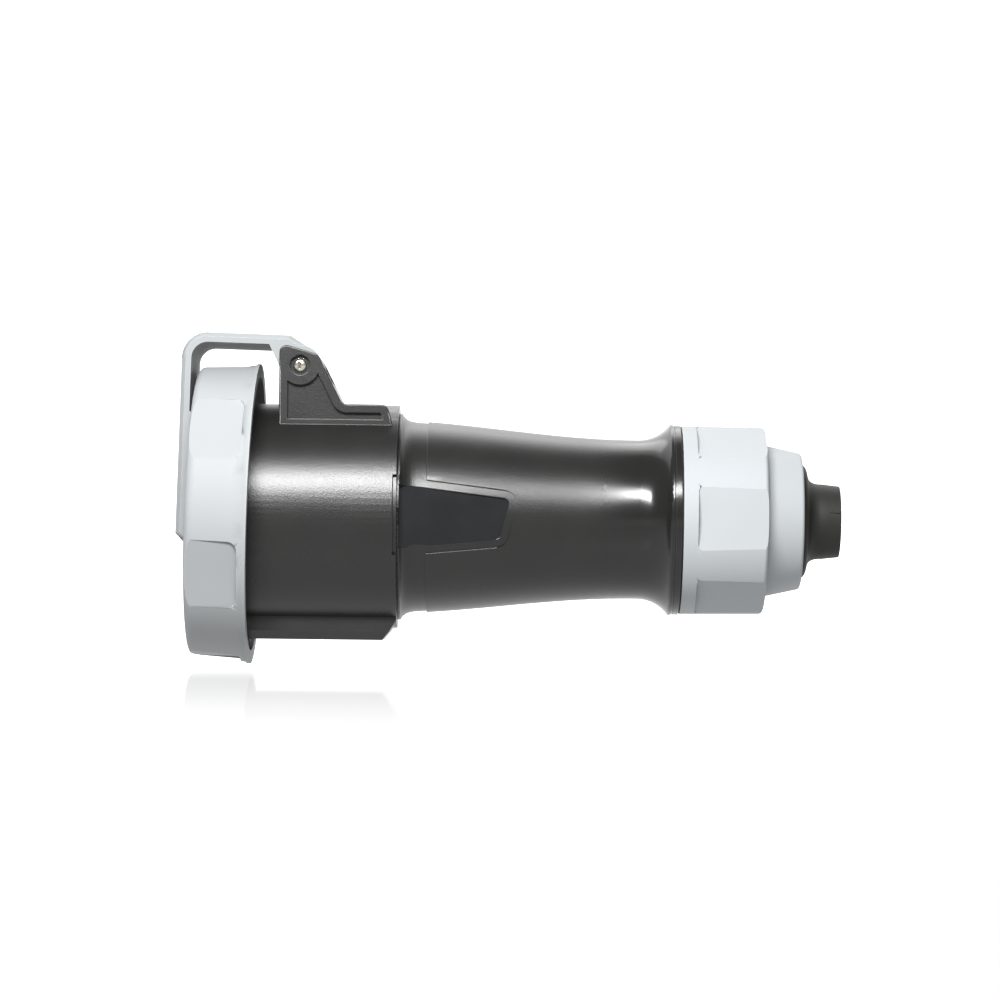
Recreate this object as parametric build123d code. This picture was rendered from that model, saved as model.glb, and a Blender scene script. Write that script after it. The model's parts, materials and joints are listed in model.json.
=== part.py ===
from build123d import *
from math import cos, hypot, radians, sin, sqrt
import os

# A cable-mounted power connector with sleeve contacts, a sprung lid and a
# bayonet locking ring. Lengths are millimetres.
# X runs along the connector: the lid is at -X and the cable leaves at +X.
# Z is up, with the hinge on top. X = 0 is where the contact carrier's straight
# wall starts, just behind the chamfer of its face.

# Clearances
RUN_GAP = 0.3           # between rigid pieces that move past each other
SEAT_GAP = 0.1          # between pieces of one body that fit inside each other
PIN_GAP = 0.05          # round the hinge pin and the screws
SEAL_GAP = 0.3          # left in front of the rim by the lid's gasket when it is shut
THREAD_GAP = 0.3        # between the gland's plain cylinders, which stand for threads

# How far cutters run past a face, and how far joined shapes reach into each other
PAST = 1.0
LAP = 0.5

# Contact carrier and the annular gap round it for the plug's sleeve
CARRIER_R = 35.5
CARRIER_CHAMFER = 0.8
CARRIER_SPIGOT_R = 29.6  # behind the step that seats on the collar's shoulder
CARRIER_TAIL = 7.0       # the spigot stands this far out behind the shoulder
SLEEVE_DEPTH = 48.0      # how far a plug's sleeve can go in
SHOULDER_T = 7.0         # inner shoulder of the collar that the carrier is screwed to
CARRIER_SCREW_R = 1.5
CARRIER_SCREW_REACH = 8.0
CARRIER_SCREW_HEAD_R = 2.5
CARRIER_SCREW_HEAD_T = 2.4
CARRIER_SCREW_ANGLES = (45, 135, 225, 315)

# Collar, the front housing
COLLAR_R = 47.0
COLLAR_WALL = 3.8
RIM_AHEAD = 3.0         # the rim stands ahead of the carrier's wall
RIM_CHAMFER = 0.8
COLLAR_LENGTH = 75.8
KEY_RIB_HALF = 20.0
KEY_RIB_RISE = 5.0
KEY_RIB_CHAMFER = 3.6
KEY_RIB_END_BACK = 6.0  # how far the rib's lower edge stops short of the collar's end
KEYWAY_HALF = 6.0
KEYWAY_WALL = 3.4       # left under the keyway
LATCH_SLOT_HALF = 16.5
LATCH_SLOT_W = 1.6
LATCH_SLOT_DEPTH = 1.8

# Bayonet lugs
LUG_HALF_ANGLE = 9.0
LUG_RISE = 7.0          # the collar's lugs above its skin
LUG_OVERLAP = 2.8       # how deep the ring's lugs reach behind the collar's
COLLAR_LUG_BACK = 3.0   # behind the rim
COLLAR_LUG_T = 4.0
RING_LUG_T = 3.6
LUG_PLAY = 2.2          # axial play behind the collar's lugs with the lid shut
RING_TURN = 30.0        # from unlocked to locked

# Contacts
CONTACT_CIRCLE_R = 19.5
LINE_BORE = 8.2
EARTH_BORE = 10.2
PILOT_BORE = 6.2
CONTACT_WALL = 1.9
CONTACT_RECESS = 5.0    # the contacts' ends lie this far behind the carrier's face
CONTACT_BORE_PAST = 3.0  # the bores end this far behind the sleeve's depth
MOUTH_PLAY = 0.6        # the carrier's entry hole is this much wider than the bore
SLIT_W = 0.8
SLIT_LENGTH = 25.0
TERMINAL_LENGTH = 20.0
TERMINAL_WALL = 2.4
TERMINAL_WEB = 2.0      # solid metal between the carrier's back and the wire's hole
TERMINAL_SCREW_R = 2.5
TERMINAL_SCREW_LENGTH = 5.4
TERMINAL_SCREW_IN = 1.0  # how far a set screw reaches into the wire's hole
TERMINAL_SCREW_FROM_BACK = (14.0, 5.0)

# Hinge
HINGE_X = 31.8
HINGE_RISE = 15.0       # the hinge's height above the collar's skin
EAR_HALF = 28.5         # outer faces of the ears
EAR_T = 4.4
EAR_FRONT = 8.6         # the ears' front edge is this far ahead of the hinge
EAR_RISE = 9.2
EAR_TOP_DROP = 4.6
EAR_TOP_BACK = 7.4
EAR_SLOPE_RUN = 10.4
EAR_TAIL_DROP = 1.0     # the tail's top lies this far under the collar's top
EAR_TAIL_END = 4.8      # the tail stops this far before the collar's end
EAR_TAIL_SLOPE = 4.4
EAR_CORNER_R = 3.0
EAR_EDGE_R = 0.6
EAR_RIM_W = 3.5
EAR_POCKET_DEPTH = 1.8
EAR_POCKET_ABOVE = 2.2  # the pocket's lower edge above the collar's skin
EAR_BOSS_R = 8.2
PIN_R = 3.0
PIN_SEAT = 1.0          # how far the pin goes into each ear
SCREW_R = 1.5
SCREW_HEAD_R = 2.85
SCREW_HEAD_T = 1.5
SCREW_SINK_R = 4.3
SCREW_SINK_DEPTH = 2.0
SCREW_LENGTH = 8.0
LID_AJAR = 1.5          # the lid stands open by this angle at rest

# Spring round the hinge pin
SPRING_WIRE_R = 0.8
SPRING_TURNS = 6        # and a quarter turn more, which brings the last leg forwards
SPRING_SIDE_GAP = 2.5
SPRING_ARM_LEG = 9.4
SPRING_LEG_PLAY = 0.5   # round the leg's tip in its hole in the arm

# Lid
LID_FACE_AHEAD = 8.6    # the lid's front face is this far ahead of the rim when shut
LID_FACE_T = 2.8
LID_DRUM_OVER = 2.0     # the drum that the ring turns round, beyond the collar's skin
LID_FLANGE_OVER = 8.2   # the flange behind the ring, beyond the collar's skin
LID_FLANGE_T = 3.4
LID_RIB_T = 1.8
LID_RIB_COUNT = 6
LID_RIB_BACK = 1.0      # the ribs stop this far inside the flange's back
LID_HUB_R = 7.0
GASKET_OVER = 1.7       # the gasket is wider than the rim by this on each side
GASKET_GROOVE = 1.2
GASKET_LAND = 3.0       # left inside the gasket's groove

# Arm of the lid
ARM_HALF = 23.4
ARM_T = 4.1
ARM_EDGE = 1.8          # chamfer along the arm's outer side edges
ARM_STANDOFF = 2.2      # between the arm and the lid's face
ARM_RISE = 12.6         # the arm's top above the hinge
ARM_CORNER_R = 11.0
ARM_FOOT_TOP_Z = 41.5
ARM_FOOT_END_Z = -12.8
ARM_FOOT_CHAMFER = 3.2
ARM_BEND_AHEAD = 13.4   # where the arm's underside starts down to the knuckle
ARM_TOP_END_AHEAD = 5.0
KNUCKLE_R = 8.6
KNUCKLE_SLOT_HALF = 9.5
KNUCKLE_SLOT_GAP = 0.6  # the slot's wall beyond the knuckle

# Locking ring
RING_SIDE_GAP = 2.4     # between the lid's flange and the ring's bore
RING_FLAT_WALL = 2.0    # left under the grip flats
RING_SPREAD = 1.1       # the ring is this much larger in radius at its back
RING_LENGTH = 25.7
RING_FRONT_T = 2.8
RING_ROUND = 4.0
RING_LIP = 0.7
RING_LIP_W = 2.2
GRIP_COUNT = 6
GRIP_HALF_ANGLE = 14.0
GRIP_FIRST_ANGLE = 34.0  # above the horizontal, on the near side
GRIP_STOP = 3.6          # land left behind the grip flats
GRIP_CORNER_R = 4.0
CLIP_T = 0.8
CLIP_W = 4.0
CLIP_GROOVE = 1.1
CLIP_SINK = 0.4          # how deep the clip lies below the lid's face
CLIP_OPEN_ANGLE = 14.0

# Rear housing
SEAM_GAP = 0.5
HOUSING_SET_IN = 2.9     # the housing's flange lies this far inside the collar's skin
HOUSING_FLANGE_W = 0.8
GRIP_SET_IN = 3.7        # the grip lies this far inside the flange
HOUSING_NECK_IN = 8.0    # length of the concave fillet behind the flange
NECK_DROP_X = 1.2        # the fillet's steep part
NECK_DROP_R = 0.9
NECK_EASE_R = 0.2
WAIST_R = 33.6
WAIST_LENGTH = 5.0
GRIP_TAPER_LENGTH = 86.5
TAPER_FALL = 1.7         # how far the grip has come in after a third of the taper
FLARE_OVER = 0.6         # the flare's radius beyond the nut's
FLARE_ARC_R = 16.0
FLARE_LAND = 1.2
LIP_GROOVE = 0.6
LIP_SET_IN = 0.2
LIP_W = 2.4
HOUSING_WALL = 3.2
SKIN_STEP = 0.6
BAND_W = 11.8
SOCKET_LENGTH = 10.4
SOCKET_WALL = 3.0
SEAL_CORD_R = 1.5
SEAL_BACK = 3.5          # the seal's groove behind the housing's front end
SPIGOT_R = 33.0
SPIGOT_WALL = 5.2
SPIGOT_LENGTH = 23.5

# Side pockets of the rear housing, seen from the side
POCKET_DEPTH_FRONT = 39.0  # the floor's distance from the axis at the collar
POCKET_DEPTH_BACK = 34.7   # and at the pocket's back end
POCKET_LENGTH = 46.5
POCKET_FRONT_TOP = 13.2
POCKET_FRONT_BOTTOM = -14.2
POCKET_BACK_TOP = 7.2
POCKET_BACK_BOTTOM = -9.6
POCKET_SLANT = 4.2
POCKET_CORNER_R = 2.2
SURROUND_W = 3.3

# Gland
NUT_GAP = 0.7
NUT_LENGTH = 34.8
NUT_DRAFT = 0.4          # the nut is this much smaller in radius at its back
NUT_FRONT_LAND = 6.0
NUT_FLAT_COUNT = 6
NUT_FLAT_HALF_ANGLE = 20.0
NUT_FLAT_WALL = 4.0      # left under the nut's flats
NUT_CORNER_R = 2.6
NUT_EDGE = 1.5
NUT_WALL = 3.4
NUT_STEP = 1.2           # length of the step from the nut's flats to its cone
NUT_RELIEF = 2.0         # the nut's thread runs this far past the spigot's end
CONE_WALL = 2.0          # round the bush at the cone's small end
CONE_SPREAD = 3.2        # the cone's large end beyond its small end
CONE_LENGTH = 15.8
CONE_END_T = 3.6
BUSH_ROOM = 1.2          # round the bush in the spigot
BUSH_STEP = 2.5          # from the bush to its shoulder in the nut's mouth
BUSH_SHOULDER_T = 2.2
BUSH_ROUND = 2.0
CABLE_R = 12.5
NECK_WALL = 2.5
NECK_SPREAD = 0.8        # the neck is this much thicker at its root
NECK_LENGTH = 14.2
NECK_ROUND = 7.0         # length of the fillet at the neck's root
NECK_FILLET_R = 4.0
NECK_EDGE = 0.6
SEAL_SET_IN = 1.2        # the nut's seal lies this far inside the flare's lip
WASHER_T = 1.2
COLLET_SEAT = 5.0        # the collet's back lies this far inside the spigot
COLLET_LENGTH = 11.0
COLLET_BASE = 3.0        # the collet's whole ring behind its fingers
COLLET_LEDGE = 2.0       # width of the ledge in the spigot that carries the base
COLLET_WALL = 3.6
COLLET_GRIP_GAP = 1.5    # between the loose collet and the cable
COLLET_SLOT_W = 2.4
COLLET_SLOTS = 8

# Radii and heights that follow from the sizes above
COLLAR_BORE_R = COLLAR_R - COLLAR_WALL
COLLAR_LUG_R = COLLAR_R + LUG_RISE
KEY_RIB_R = COLLAR_R + KEY_RIB_RISE
KEYWAY_R = KEY_RIB_R - KEYWAY_WALL
RING_LUG_R = COLLAR_LUG_R - LUG_OVERLAP
LID_DRUM_R = COLLAR_R + LID_DRUM_OVER
LID_FLANGE_R = COLLAR_R + LID_FLANGE_OVER
GASKET_IN_R = COLLAR_BORE_R - GASKET_OVER
GASKET_OUT_R = COLLAR_R + GASKET_OVER
LID_DISH_R = GASKET_IN_R - GASKET_LAND
RING_BORE_R = LID_FLANGE_R + RING_SIDE_GAP
RING_FLAT_R = RING_BORE_R + RING_FLAT_WALL
RING_R_FRONT = RING_FLAT_R / cos(radians(GRIP_HALF_ANGLE))
RING_R_BACK = RING_R_FRONT + RING_SPREAD
CARRIER_SCREW_CIRCLE_R = (CARRIER_R + CARRIER_SPIGOT_R) / 2
HINGE_Z = COLLAR_R + HINGE_RISE
SWEEP_R = HINGE_RISE - RUN_GAP  # room between the ears for the arm to swing
ARM_TOP_Z = HINGE_Z + ARM_RISE
SPRING_COIL_R = PIN_R + RUN_GAP + SPRING_WIRE_R
EAR_SKIN_Z = sqrt(COLLAR_R ** 2 - EAR_HALF ** 2)  # where the ears' faces leave the collar
EAR_ROOT_Z = sqrt(COLLAR_BORE_R ** 2 - EAR_HALF ** 2)
NUT_THREAD_R = SPIGOT_R + THREAD_GAP
NUT_FLAT_R = NUT_THREAD_R + NUT_FLAT_WALL
NUT_R_FRONT = NUT_FLAT_R / cos(radians(NUT_FLAT_HALF_ANGLE))
NUT_R_BACK = NUT_R_FRONT - NUT_DRAFT
SPIGOT_BORE_R = SPIGOT_R - SPIGOT_WALL
BUSH_R = SPIGOT_BORE_R - BUSH_ROOM
BUSH_SHOULDER_R = BUSH_R - BUSH_STEP
CONE_R_BACK = BUSH_R + CONE_WALL
CONE_R_FRONT = CONE_R_BACK + CONE_SPREAD
NECK_R_BACK = CABLE_R + NECK_WALL
NECK_R_FRONT = NECK_R_BACK + NECK_SPREAD
HOUSING_FLANGE_R = COLLAR_R - HOUSING_SET_IN
GRIP_R = HOUSING_FLANGE_R - GRIP_SET_IN
FLARE_R = NUT_R_FRONT + FLARE_OVER
LIP_R = FLARE_R - LIP_SET_IN
CHAMBER_R = POCKET_DEPTH_BACK - HOUSING_WALL
SOCKET_R = COLLAR_BORE_R - 2 * SEAT_GAP

# Stations along X that follow from the sizes above
RIM_X = -RIM_AHEAD
COLLAR_END_X = RIM_X + COLLAR_LENGTH
STEP_X = SLEEVE_DEPTH - SEAT_GAP
SHOULDER_END_X = SLEEVE_DEPTH + SHOULDER_T
CARRIER_BACK_X = SHOULDER_END_X + CARRIER_TAIL
TERMINAL_END_X = CARRIER_BACK_X + TERMINAL_LENGTH
COLLAR_LUG_X = RIM_X + COLLAR_LUG_BACK
LUG_END_X = COLLAR_LUG_X + COLLAR_LUG_T
LID_FACE_X = RIM_X - LID_FACE_AHEAD
LID_HOLLOW_X = LID_FACE_X + LID_FACE_T
FLANGE_FRONT_X = LID_FACE_X + RING_FRONT_T + RUN_GAP
FLANGE_BACK_X = FLANGE_FRONT_X + LID_FLANGE_T
RING_BACK_X = LID_FACE_X + RING_LENGTH
ARM_FACE_X = LID_FACE_X - ARM_STANDOFF - ARM_T
HOUSING_X = COLLAR_END_X + SEAM_GAP
SOCKET_X = HOUSING_X - SOCKET_LENGTH
SEAL_X = SOCKET_X + SEAL_BACK
BAND_END_X = HOUSING_X + BAND_W
NECK_IN_X = HOUSING_X + HOUSING_FLANGE_W + HOUSING_NECK_IN
WAIST_X = NECK_IN_X + GRIP_TAPER_LENGTH
FLARE_X = WAIST_X + WAIST_LENGTH
FLARE_RISE = FLARE_R - WAIST_R
FLARE_RUN = sqrt(2 * FLARE_ARC_R * FLARE_RISE - FLARE_RISE ** 2)
FLARE_END_X = FLARE_X + FLARE_RUN + FLARE_LAND
LIP_END_X = FLARE_END_X + LIP_GROOVE + LIP_W
SPIGOT_END_X = LIP_END_X + SPIGOT_LENGTH
COLLET_END_X = SPIGOT_END_X - COLLET_SEAT
COLLET_X = COLLET_END_X - COLLET_LENGTH
COLLET_BASE_X = COLLET_END_X - COLLET_BASE
NUT_X = LIP_END_X + NUT_GAP
NUT_END_X = NUT_X + NUT_LENGTH
CONE_END_X = NUT_END_X + CONE_LENGTH
CONE_WALL_X = CONE_END_X - CONE_END_T
WASHER_END_X = CONE_WALL_X - SEAT_GAP
WASHER_X = WASHER_END_X - WASHER_T
BUSH_END_X = WASHER_X - RUN_GAP
NECK_X = CONE_END_X + BUSH_SHOULDER_T
NECK_END_X = NECK_X + NECK_LENGTH


def spun(points):
    """A solid turned about the connector's axis from (x, radius) points."""
    return revolve(Plane.XZ * make_face(Polyline(*points, close=True)), Axis.X)


def tube(x0, x1, outer, inner):
    return spun([(x0, inner), (x1, inner), (x1, outer), (x0, outer)])


def rod(x0, x1, r, y=0.0, z=0.0):
    """A round bar along X."""
    lying = Rot(0, 90, 0) * Cylinder(r, x1 - x0, align=(Align.CENTER, Align.CENTER, Align.MIN))
    return Pos(x0, y, z) * lying


def cross_rod(x, z, r, y0, y1):
    """A round bar along Y, between y0 and y1 in either order."""
    low = min(y0, y1)
    lying = Rot(-90, 0, 0) * Cylinder(r, abs(y1 - y0), align=(Align.CENTER, Align.CENTER, Align.MIN))
    return Pos(x, low, z) * lying


def side_plate(outline, y0, y1):
    """A flat outline in the side view, X across and Z up, between y0 and y1."""
    low, high = min(y0, y1), max(y0, y1)
    return extrude(Plane.XZ.offset(-high) * outline, high - low)


def bar(x0, x1, half_y, z0, z1):
    """A rectangular bar that is centred on the side view's plane."""
    shape = Box(x1 - x0, 2 * half_y, z1 - z0, align=(Align.MIN, Align.CENTER, Align.MIN))
    return Pos(x0, 0, z0) * shape


def polygon(points):
    return make_face(Polyline(*points, close=True))


def rounded(points, radius):
    """A polygon whose corners are rounded."""
    shape = polygon(points)
    return fillet(shape.vertices(), radius)


def at_angle(shape, angle):
    """Turns a shape made on the near side (-Y) upwards about the axis."""
    return Rot(-angle, 0, 0) * shape


def sector(x0, x1, outer, inner, half_angle):
    """A piece of a ring that is centred on the near side."""
    a = radians(half_angle)
    mid_in = (-inner, 0)
    mid_out = (-outer, 0)
    upper = [(-r * cos(a), r * sin(a)) for r in (inner, outer)]
    lower = [(y, -z) for y, z in upper]
    edges = [
        ThreePointArc(lower[0], mid_in, upper[0]),
        Line(upper[0], upper[1]),
        ThreePointArc(upper[1], mid_out, lower[1]),
        Line(lower[1], lower[0]),
    ]
    return extrude(Plane.YZ.offset(x0) * make_face(edges), x1 - x0)


def circles_at(shape, x, radius):
    """The round edges about the axis at a station and radius."""
    def fits(edge):
        return (
            edge.geom_type == GeomType.CIRCLE
            and abs(edge.arc_center.X - x) < 0.01
            and abs(edge.radius - radius) < 0.01
        )
    return shape.edges().filter_by(fits)


def flat_cutter(x0, x1, half_w, flat_r, corner_r):
    """Cuts a flat with rounded corners on the near side, from x0 to x1."""
    pad = Pos((x0 + x1) / 2, 0) * Rectangle(x1 - x0, 2 * half_w)
    pad = fillet(pad.vertices(), corner_r)
    return Pos(0, -flat_r, 0) * Rot(90, 0, 0) * extrude(pad, flat_r)


def drop_shut_lid(shape):
    """Takes a piece modelled with the lid shut to where it stands at rest."""
    hinge = Pos(HINGE_X, 0, HINGE_Z)
    return hinge * Rot(0, LID_AJAR, 0) * hinge.inverse() * shape


def ear_outline():
    """The hinge bracket from the side: ears, slope and tail."""
    front = HINGE_X - EAR_FRONT
    back = HINGE_X + EAR_TOP_BACK
    tail_end = COLLAR_END_X - EAR_TAIL_END
    tail_z = COLLAR_R - EAR_TAIL_DROP
    face = polygon([
        (front, EAR_ROOT_Z),
        (front, HINGE_Z + EAR_RISE),
        (back, HINGE_Z + EAR_RISE - EAR_TOP_DROP),
        (back + EAR_SLOPE_RUN, tail_z),
        (tail_end, tail_z),
        (tail_end + EAR_TAIL_SLOPE, EAR_ROOT_Z),
    ])
    upper = [v for v in face.vertices() if v.Y > EAR_ROOT_Z + PAST]
    return fillet(upper, EAR_CORNER_R)


def ear_pocket(outline):
    """The sunk field in an ear's outer face, which leaves a rim and the screw's boss."""
    inner = offset(outline, -EAR_RIM_W)
    low, high = EAR_SKIN_Z + EAR_POCKET_ABOVE, HINGE_Z
    window = Pos(HINGE_X, (low + high) / 2) * Rectangle(2 * COLLAR_LENGTH, high - low)
    field = (inner & window) - Pos(HINGE_X, HINGE_Z) * Circle(EAR_BOSS_R)
    return max(field.faces(), key=lambda f: f.area)


def hinge_bracket():
    outline = ear_outline()
    bracket = side_plate(outline, -EAR_HALF, EAR_HALF)
    def on_rim(edge):
        mid = edge @ 0.5
        return abs(mid.Y) > EAR_HALF - LAP and mid.Z > EAR_ROOT_Z + PAST
    bracket = fillet(bracket.edges().filter_by(on_rim), EAR_EDGE_R)
    inside = EAR_HALF - EAR_T
    bracket -= cross_rod(HINGE_X, HINGE_Z, SWEEP_R, -inside, inside)
    front = HINGE_X - EAR_FRONT - PAST
    bracket -= bar(front, HINGE_X + EAR_TOP_BACK, inside, COLLAR_R + RUN_GAP, HINGE_Z + EAR_RISE + PAST)
    field = ear_pocket(outline)
    for face_y in (-EAR_HALF, EAR_HALF):
        inward = -1 if face_y > 0 else 1
        bracket -= side_plate(field, face_y, face_y + inward * EAR_POCKET_DEPTH)
        bracket -= cross_rod(HINGE_X, HINGE_Z, SCREW_SINK_R, face_y, face_y + inward * SCREW_SINK_DEPTH)
    bracket -= cross_rod(HINGE_X, HINGE_Z, SCREW_R + PIN_GAP, -EAR_HALF, EAR_HALF)
    seat = inside + PIN_SEAT
    bracket -= cross_rod(HINGE_X, HINGE_Z, PIN_R + PIN_GAP, -seat, seat)
    return bracket


def key_rib():
    """The rib under the collar that houses the keyway."""
    half, chamfer_w = KEY_RIB_HALF, KEY_RIB_CHAMFER
    low = -KEY_RIB_R
    section = polygon([
        (-half, 0),
        (-half, low + chamfer_w),
        (-half + chamfer_w, low),
        (half - chamfer_w, low),
        (half, low + chamfer_w),
        (half, 0),
    ])
    rib = extrude(Plane.YZ.offset(RIM_X) * section, COLLAR_LENGTH)
    end, reach = COLLAR_END_X, KEY_RIB_END_BACK
    cut = polygon([
        (end - reach, low - PAST),
        (end - reach, low),
        (end - reach / 2, low + chamfer_w),
        (end, -COLLAR_R + chamfer_w),
        (end + PAST, low - PAST),
    ])
    return rib - side_plate(cut, -half - PAST, half + PAST)


def collar_shoulder():
    """The inner ledge that the carrier seats on, with its screws' holes."""
    shoulder = tube(SLEEVE_DEPTH, SHOULDER_END_X, COLLAR_BORE_R + LAP, CARRIER_SPIGOT_R + SEAT_GAP)
    for y, z in carrier_screw_places():
        shoulder -= rod(SLEEVE_DEPTH - PAST, SHOULDER_END_X + PAST, CARRIER_SCREW_R + PIN_GAP, y, z)
    return shoulder


def collar():
    shell = spun([
        (RIM_X, 0),
        (RIM_X, COLLAR_R - RIM_CHAMFER),
        (RIM_X + RIM_CHAMFER, COLLAR_R),
        (COLLAR_END_X, COLLAR_R),
        (COLLAR_END_X, 0),
    ])
    shell += key_rib()
    shell += hinge_bracket()
    for angle in (0, 180):
        lug = sector(COLLAR_LUG_X, LUG_END_X, COLLAR_LUG_R, COLLAR_R - LAP, LUG_HALF_ANGLE)
        shell += at_angle(lug, angle)
    shell -= spun([
        (RIM_X - PAST, 0),
        (RIM_X - PAST, COLLAR_BORE_R + RIM_CHAMFER + PAST),
        (RIM_X + RIM_CHAMFER, COLLAR_BORE_R),
        (COLLAR_END_X + PAST, COLLAR_BORE_R),
        (COLLAR_END_X + PAST, 0),
    ])
    shell -= bar(RIM_X - PAST, SLEEVE_DEPTH, KEYWAY_HALF, -KEYWAY_R, 0)
    shell += collar_shoulder()
    slot_x = COLLAR_END_X - LATCH_SLOT_W
    slot = bar(slot_x, COLLAR_END_X + PAST, COLLAR_R + PAST, -LATCH_SLOT_HALF, LATCH_SLOT_HALF)
    return shell - (slot - rod(slot_x - PAST, COLLAR_END_X + 2 * PAST, COLLAR_R - LATCH_SLOT_DEPTH))


def carrier_screw_places():
    """Four screws on the diagonals, in the step between the carrier's wall and its spigot."""
    turns = [radians(a) for a in CARRIER_SCREW_ANGLES]
    return [(CARRIER_SCREW_CIRCLE_R * cos(a), CARRIER_SCREW_CIRCLE_R * sin(a)) for a in turns]


def contact_places():
    """Name, bore and place across the face of each contact, seen from the front."""
    r = CONTACT_CIRCLE_R
    return [
        ("contact_line_1", LINE_BORE, -r, 0.0),
        ("contact_line_2", LINE_BORE, 0.0, r),
        ("contact_line_3", LINE_BORE, r, 0.0),
        ("contact_earth", EARTH_BORE, 0.0, -r),
        ("contact_pilot", PILOT_BORE, 0.0, 0.0),
    ]


def contact_carrier():
    """The insulator: it goes in from the front and is screwed to the shoulder from behind."""
    body = spun([
        (-CARRIER_CHAMFER, 0),
        (-CARRIER_CHAMFER, CARRIER_R - CARRIER_CHAMFER),
        (0, CARRIER_R),
        (STEP_X, CARRIER_R),
        (STEP_X, CARRIER_SPIGOT_R),
        (CARRIER_BACK_X, CARRIER_SPIGOT_R),
        (CARRIER_BACK_X, 0),
    ])
    for name, bore, y, z in contact_places():
        body -= rod(-CARRIER_CHAMFER - PAST, CONTACT_RECESS + PAST, (bore + MOUTH_PLAY) / 2, y, z)
        sleeve_r = bore / 2 + CONTACT_WALL + SEAT_GAP
        body -= rod(CONTACT_RECESS, CARRIER_BACK_X + PAST, sleeve_r, y, z)
    hole_x = SHOULDER_END_X - SHOULDER_T - CARRIER_SCREW_REACH - SEAT_GAP
    for y, z in carrier_screw_places():
        body -= rod(hole_x, STEP_X + PAST, CARRIER_SCREW_R + PIN_GAP, y, z)
    return body


def contact(bore, y, z):
    """A slit sleeve in front and a solid-walled terminal behind, in one piece."""
    outer = bore / 2 + CONTACT_WALL
    x0 = CONTACT_RECESS + SEAT_GAP
    body = rod(x0, TERMINAL_END_X, outer)
    body -= rod(x0 - PAST, SLEEVE_DEPTH + CONTACT_BORE_PAST, bore / 2)
    body -= rod(CARRIER_BACK_X + TERMINAL_WEB, TERMINAL_END_X + PAST, outer - TERMINAL_WALL)
    slit = bar(x0 - PAST, x0 + SLIT_LENGTH, SLIT_W / 2, -outer - PAST, outer + PAST)
    for turn in (0, 90):
        body -= Rot(turn, 0, 0) * slit
    body = Pos(0, y, z) * body
    for hole in terminal_screw_rods(bore, y, z, PIN_GAP):
        body -= hole
    return body


def terminal_screw_rods(bore, y, z, gap=0.0):
    """Two set screws for a terminal, pointing in from the outside."""
    across = hypot(y, z)
    uy, uz = (y / across, z / across) if across else (0.0, 1.0)
    start_r = bore / 2 + CONTACT_WALL - TERMINAL_WALL - TERMINAL_SCREW_IN
    rods = []
    for from_back in TERMINAL_SCREW_FROM_BACK:
        start = (TERMINAL_END_X - from_back, y + uy * start_r, z + uz * start_r)
        upright = (Align.CENTER, Align.CENTER, Align.MIN)
        screw = Cylinder(TERMINAL_SCREW_R + gap, TERMINAL_SCREW_LENGTH, align=upright)
        rods.append(Plane(origin=start, z_dir=(0, uy, uz)) * screw)
    return rods


def terminal_screws():
    screws = []
    for name, bore, y, z in contact_places():
        screws += terminal_screw_rods(bore, y, z)
    return Compound(children=screws)


def carrier_screws():
    head_x = SHOULDER_END_X + SEAT_GAP
    screws = []
    for y, z in carrier_screw_places():
        screw = rod(SLEEVE_DEPTH - CARRIER_SCREW_REACH, head_x + LAP, CARRIER_SCREW_R, y, z)
        screw += rod(head_x, head_x + CARRIER_SCREW_HEAD_T, CARRIER_SCREW_HEAD_R, y, z)
        screws.append(screw)
    return Compound(children=screws)


def hinge_pin():
    half = EAR_HALF - EAR_T + PIN_SEAT - SEAT_GAP
    pin = cross_rod(HINGE_X, HINGE_Z, PIN_R, -half, half)
    for side in (-1, 1):
        bottom = side * (EAR_HALF - SCREW_SINK_DEPTH - SCREW_LENGTH - SEAT_GAP)
        pin -= cross_rod(HINGE_X, HINGE_Z, SCREW_R + PIN_GAP, side * (half + PAST), bottom)
    return pin


def hinge_screws():
    screws = []
    for side in (-1, 1):
        seat = side * (EAR_HALF - SCREW_SINK_DEPTH)
        under = seat + side * SEAT_GAP
        head = cross_rod(HINGE_X, HINGE_Z, SCREW_HEAD_R, under, under + side * SCREW_HEAD_T)
        shank = cross_rod(HINGE_X, HINGE_Z, SCREW_R, under + side * LAP, seat - side * SCREW_LENGTH)
        screws.append(head + shank)
    return Compound(children=screws)


def near_corner(face, x, y):
    return [v for v in face.vertices() if hypot(v.X - x, v.Y - y) < 0.1]


def strap_outline():
    """The bent part of the strap from the side: front, round corner and top run."""
    inner_x = ARM_FACE_X + ARM_T
    under_z = ARM_TOP_Z - ARM_T
    end_x = HINGE_X - ARM_TOP_END_AHEAD
    low_z = ARM_FOOT_TOP_Z - ARM_T
    face = polygon([
        (ARM_FACE_X, low_z),
        (ARM_FACE_X, ARM_TOP_Z),
        (end_x, ARM_TOP_Z),
        (end_x, under_z),
        (inner_x, under_z),
        (inner_x, low_z),
    ])
    face = fillet(near_corner(face, ARM_FACE_X, ARM_TOP_Z), ARM_CORNER_R)
    return fillet(near_corner(face, inner_x, under_z), ARM_CORNER_R - ARM_T)


def knuckle_outline():
    """The end of the strap from the side: it slopes down to the round knuckle."""
    drop = KNUCKLE_R * sin(radians(45))
    face = polygon([
        (HINGE_X - ARM_BEND_AHEAD, ARM_TOP_Z - ARM_T),
        (HINGE_X - ARM_BEND_AHEAD, ARM_TOP_Z),
        (HINGE_X - ARM_TOP_END_AHEAD, ARM_TOP_Z),
        (HINGE_X + drop, HINGE_Z + drop),
        (HINGE_X - drop, HINGE_Z - drop),
    ])
    return face + Pos(HINGE_X, HINGE_Z) * Circle(KNUCKLE_R)


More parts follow.
